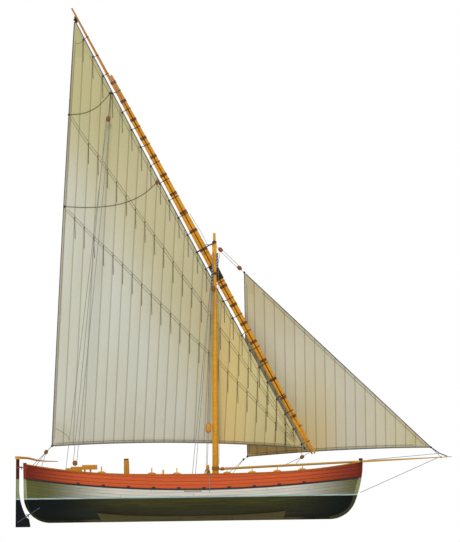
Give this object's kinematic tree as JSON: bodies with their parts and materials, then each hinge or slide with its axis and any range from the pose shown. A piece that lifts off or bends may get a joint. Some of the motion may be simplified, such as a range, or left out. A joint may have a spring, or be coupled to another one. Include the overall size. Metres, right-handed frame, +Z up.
{
  "type": "lateen sailing boat",
  "caption": "Decked double-ended wooden sailing boat with a raked lateen yard on a short mast, a jib set on a bowsprit, and a rudder hung on the sternpost.",
  "frame": {"origin": "on the waterline plane, on the centre line, half way between stem and sternpost", "axes": "+X to the bow, +Y to port, +Z up"},
  "size_m": [17.4785, 4.3662, 20.7575],
  "materials": {
    "hull_paint": "painted",
    "bottom_paint": "painted",
    "backbone_paint": "painted",
    "bulwark_paint": "painted",
    "black_paint": "painted",
    "deck_wood": "bare",
    "trim_wood": "oiled",
    "spar_wood": "oiled",
    "sailcloth": "cotton",
    "rope": "hemp",
    "iron": "wrought"
  },
  "bodies": {
    "hull": {"bilge_keel_port": "bottom_paint", "bilge_keel_starboard": "bottom_paint", "bobstay": "rope", "bowsprit": "spar_wood", "bulwark_port": "bulwark_paint", "bulwark_starboard": "bulwark_paint", "cap_rail_port": "trim_wood", "cap_rail_starboard": "trim_wood", "companion_coaming": "trim_wood", "deck": "deck_wood", "deck_aft": "deck_wood", "deck_companion": "deck_wood", "gammon_iron": "iron", "gudgeons": "iron", "hatch_coaming": "trim_wood", "heel_strop": "rope", "hull_planking": "hull_paint", "hull_planking_aft": "hull_paint", "hull_planking_companion": "hull_paint", "jib": "sailcloth", "jib_halyard": "rope", "jib_traveller": "iron", "keel": "bottom_paint", "mast": "spar_wood", "mast_band": "iron", "mast_bitts": "trim_wood", "mast_partner": "trim_wood", "mast_pole": "spar_wood", "masthead_block": "spar_wood", "masthead_sheave": "spar_wood", "pump_barrel": "trim_wood", "shroud": "rope", "slide_rails": "trim_wood", "stanchions_port": "bulwark_paint", "stanchions_starboard": "bulwark_paint", "stem": "backbone_paint", "sternpost": "backbone_paint", "thole_pads": "trim_wood", "thole_pins": "trim_wood", "timberheads": "trim_wood", "wale_port": "black_paint", "wale_starboard": "black_paint"},
    "rudder": {"rudder": "backbone_paint", "pintles": "iron", "tiller": "spar_wood", "tiller_head": "spar_wood"},
    "yard": {"yard_foot_spar": "spar_wood", "yard_peak_spar": "spar_wood", "wooldings": "rope", "parrel": "rope", "mainsail": "sailcloth", "robands": "rope"},
    "slide": {"companion_slide": "trim_wood"},
    "cover": {"hatch_cover": "trim_wood"}
  },
  "joints": [
    {"name": "rudder_hinge", "type": "hinge", "parent": "hull", "child": "rudder", "pos_m": [-6.827, 0, 1.266], "axis": [-0.1246, 0, 0.9922], "range_deg": [-35, 35]},
    {"name": "yard_swing", "type": "hinge", "parent": "hull", "child": "yard", "pos_m": [0.925, 0, 0.3], "axis": [0.0088, 0, 1], "range_deg": [-35, 0]},
    {"name": "companion_slide_travel", "type": "slide", "parent": "hull", "child": "slide", "axis": [-1, 0, 0], "range_m": [0, 0.62]},
    {"name": "hatch_cover_lift", "type": "slide", "parent": "hull", "child": "cover", "axis": [0, 0, 1], "range_m": [0, 0.3]}
  ]
}
